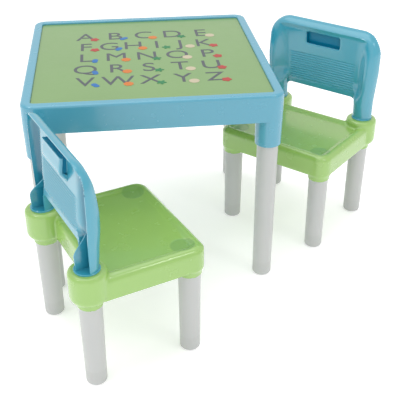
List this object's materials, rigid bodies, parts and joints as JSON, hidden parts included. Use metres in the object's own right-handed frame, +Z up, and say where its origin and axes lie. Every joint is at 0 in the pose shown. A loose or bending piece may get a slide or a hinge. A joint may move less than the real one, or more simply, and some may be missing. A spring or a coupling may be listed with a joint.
{
  "type": "kids table and chairs",
  "caption": "Low square children's table with a raised rim round a flat panel, and small chairs with hand-slot backrests, all on round push-in legs.",
  "frame": {"origin": "under the middle of the whole set's bounding box, on the floor", "axes": "+Z up, square to the table, whose front faces -Y and whose right side faces +X"},
  "size_m": [0.7836, 0.8005, 0.449],
  "materials": {
    "tray_blue": "satin moulded polypropylene, aqua blue",
    "panel_green": "smooth satin sheet, lime green, printed",
    "seat_green": "glossy moulded polypropylene, lime green",
    "backrest_blue": "glossy moulded polypropylene, aqua blue",
    "leg_white": "satin white tube",
    "foot_white": "satin white moulded cap"
  },
  "bodies": {
    "table": {"table_tray": "tray_blue", "table_panel": "panel_green", "table_leg_front_left": "leg_white", "table_leg_front_right": "leg_white", "table_leg_back_left": "leg_white", "table_leg_back_right": "leg_white", "table_foot_front_left": "foot_white", "table_foot_front_right": "foot_white", "table_foot_back_left": "foot_white", "table_foot_back_right": "foot_white"},
    "chair_left": {"chair_left_seat": "seat_green", "chair_left_backrest": "backrest_blue", "chair_left_leg_front_left": "leg_white", "chair_left_leg_front_right": "leg_white", "chair_left_leg_rear_left": "leg_white", "chair_left_leg_rear_right": "leg_white", "chair_left_foot_front_left": "foot_white", "chair_left_foot_front_right": "foot_white", "chair_left_foot_rear_left": "foot_white", "chair_left_foot_rear_right": "foot_white"},
    "chair_right": {"chair_right_seat": "seat_green", "chair_right_backrest": "backrest_blue", "chair_right_leg_front_left": "leg_white", "chair_right_leg_front_right": "leg_white", "chair_right_leg_rear_left": "leg_white", "chair_right_leg_rear_right": "leg_white", "chair_right_foot_front_left": "foot_white", "chair_right_foot_front_right": "foot_white", "chair_right_foot_rear_left": "foot_white", "chair_right_foot_rear_right": "foot_white"}
  },
  "joints": [
    {"name": "chair_left_slide", "type": "slide", "parent": "table", "child": "chair_left", "axis": [-0.9278, -0.373, 0], "range_m": [-0.06, 0.3]},
    {"name": "chair_right_slide", "type": "slide", "parent": "table", "child": "chair_right", "axis": [0.6858, 0.7278, 0], "range_m": [-0.06, 0.3]}
  ]
}
